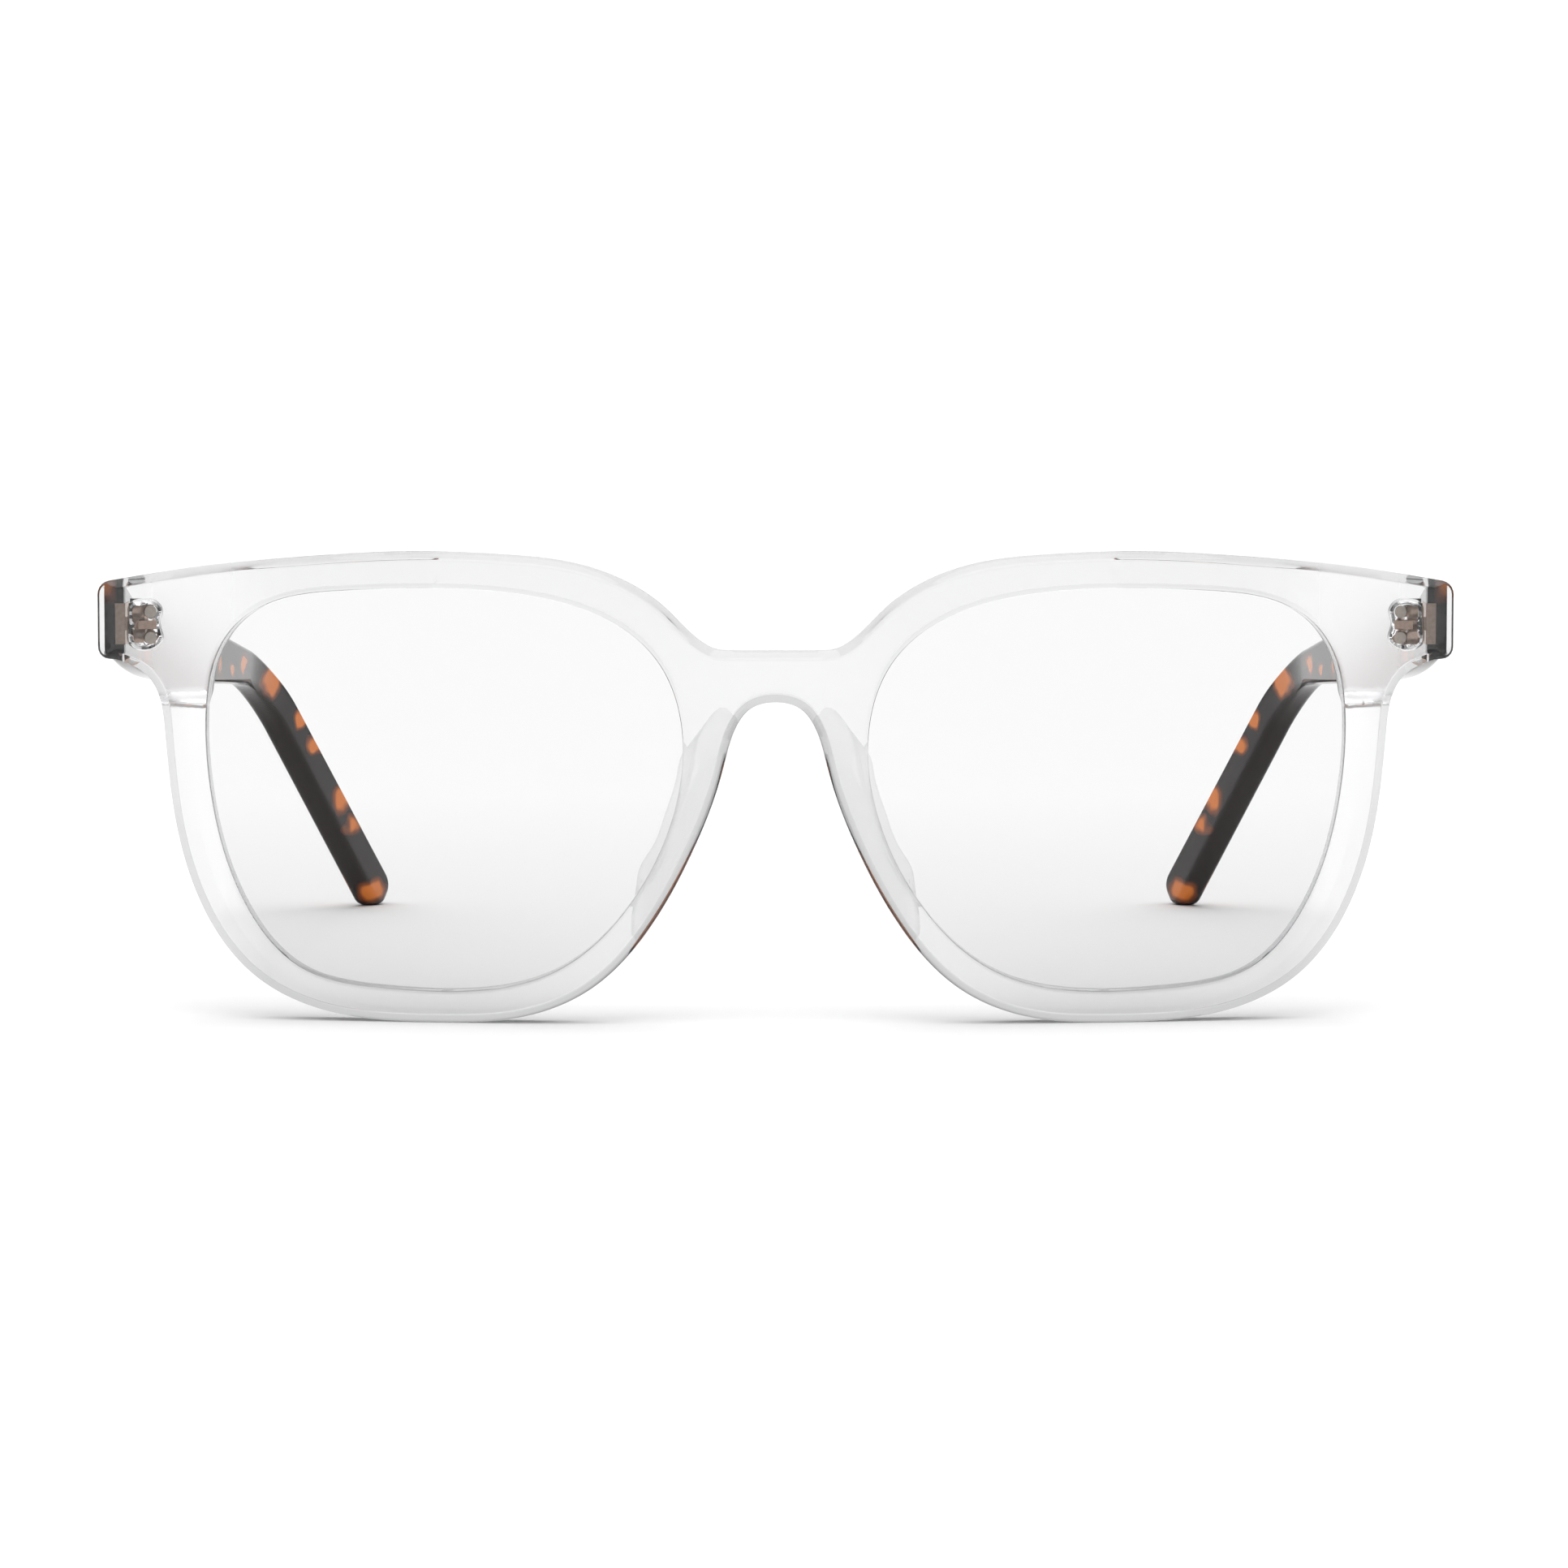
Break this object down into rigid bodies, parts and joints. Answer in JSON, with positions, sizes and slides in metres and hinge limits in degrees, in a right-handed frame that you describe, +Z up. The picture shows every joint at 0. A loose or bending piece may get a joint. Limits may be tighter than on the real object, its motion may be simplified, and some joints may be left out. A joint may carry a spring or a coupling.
{
  "type": "blue light glasses",
  "caption": "Blue light glasses: clear one-piece front with built-in nose pads, two clear lenses and tortoise temples that fold on three-knuckle hinges.",
  "frame": {"origin": "centre of the bounding box on the ground that the glasses stand on", "axes": "+X towards the wearer's left, the front faces -Y, +Z up"},
  "size_m": [0.145, 0.1382, 0.05],
  "materials": {
    "clear_plastic": "clear injection-moulded plastic, polished, bevelled front edges",
    "lens": "clear moulded lens with a faint blue-filter coating",
    "tortoise_plastic": "polished dark tortoise with amber patches",
    "hinge_metal": "satin rose-tinted nickel silver",
    "pin_metal": "satin nickel silver",
    "screw_steel": "turned steel",
    "core_steel": "plain drawn strip"
  },
  "bodies": {
    "front": {"front_frame": "clear_plastic", "lens_left": "lens", "front_hinge_left": "hinge_metal", "front_hinge_pins_left": "pin_metal", "hinge_screw_left": "screw_steel", "lens_right": "lens", "front_hinge_right": "hinge_metal", "front_hinge_pins_right": "pin_metal", "hinge_screw_right": "screw_steel"},
    "left_temple": {"temple_left": "tortoise_plastic", "temple_hinge_left": "hinge_metal", "temple_hinge_pins_left": "pin_metal", "core_wire_left": "core_steel"},
    "right_temple": {"temple_right": "tortoise_plastic", "temple_hinge_right": "hinge_metal", "temple_hinge_pins_right": "pin_metal", "core_wire_right": "core_steel"}
  },
  "joints": [
    {"name": "left_temple_fold", "type": "hinge", "parent": "front", "child": "left_temple", "pos_m": [0.068, -0.05482, 0.042], "axis": [0, 0, 1], "range_deg": [0, 84]},
    {"name": "right_temple_fold", "type": "hinge", "parent": "front", "child": "right_temple", "pos_m": [-0.068, -0.05482, 0.042], "axis": [0, 0, -1], "range_deg": [0, 76]}
  ]
}
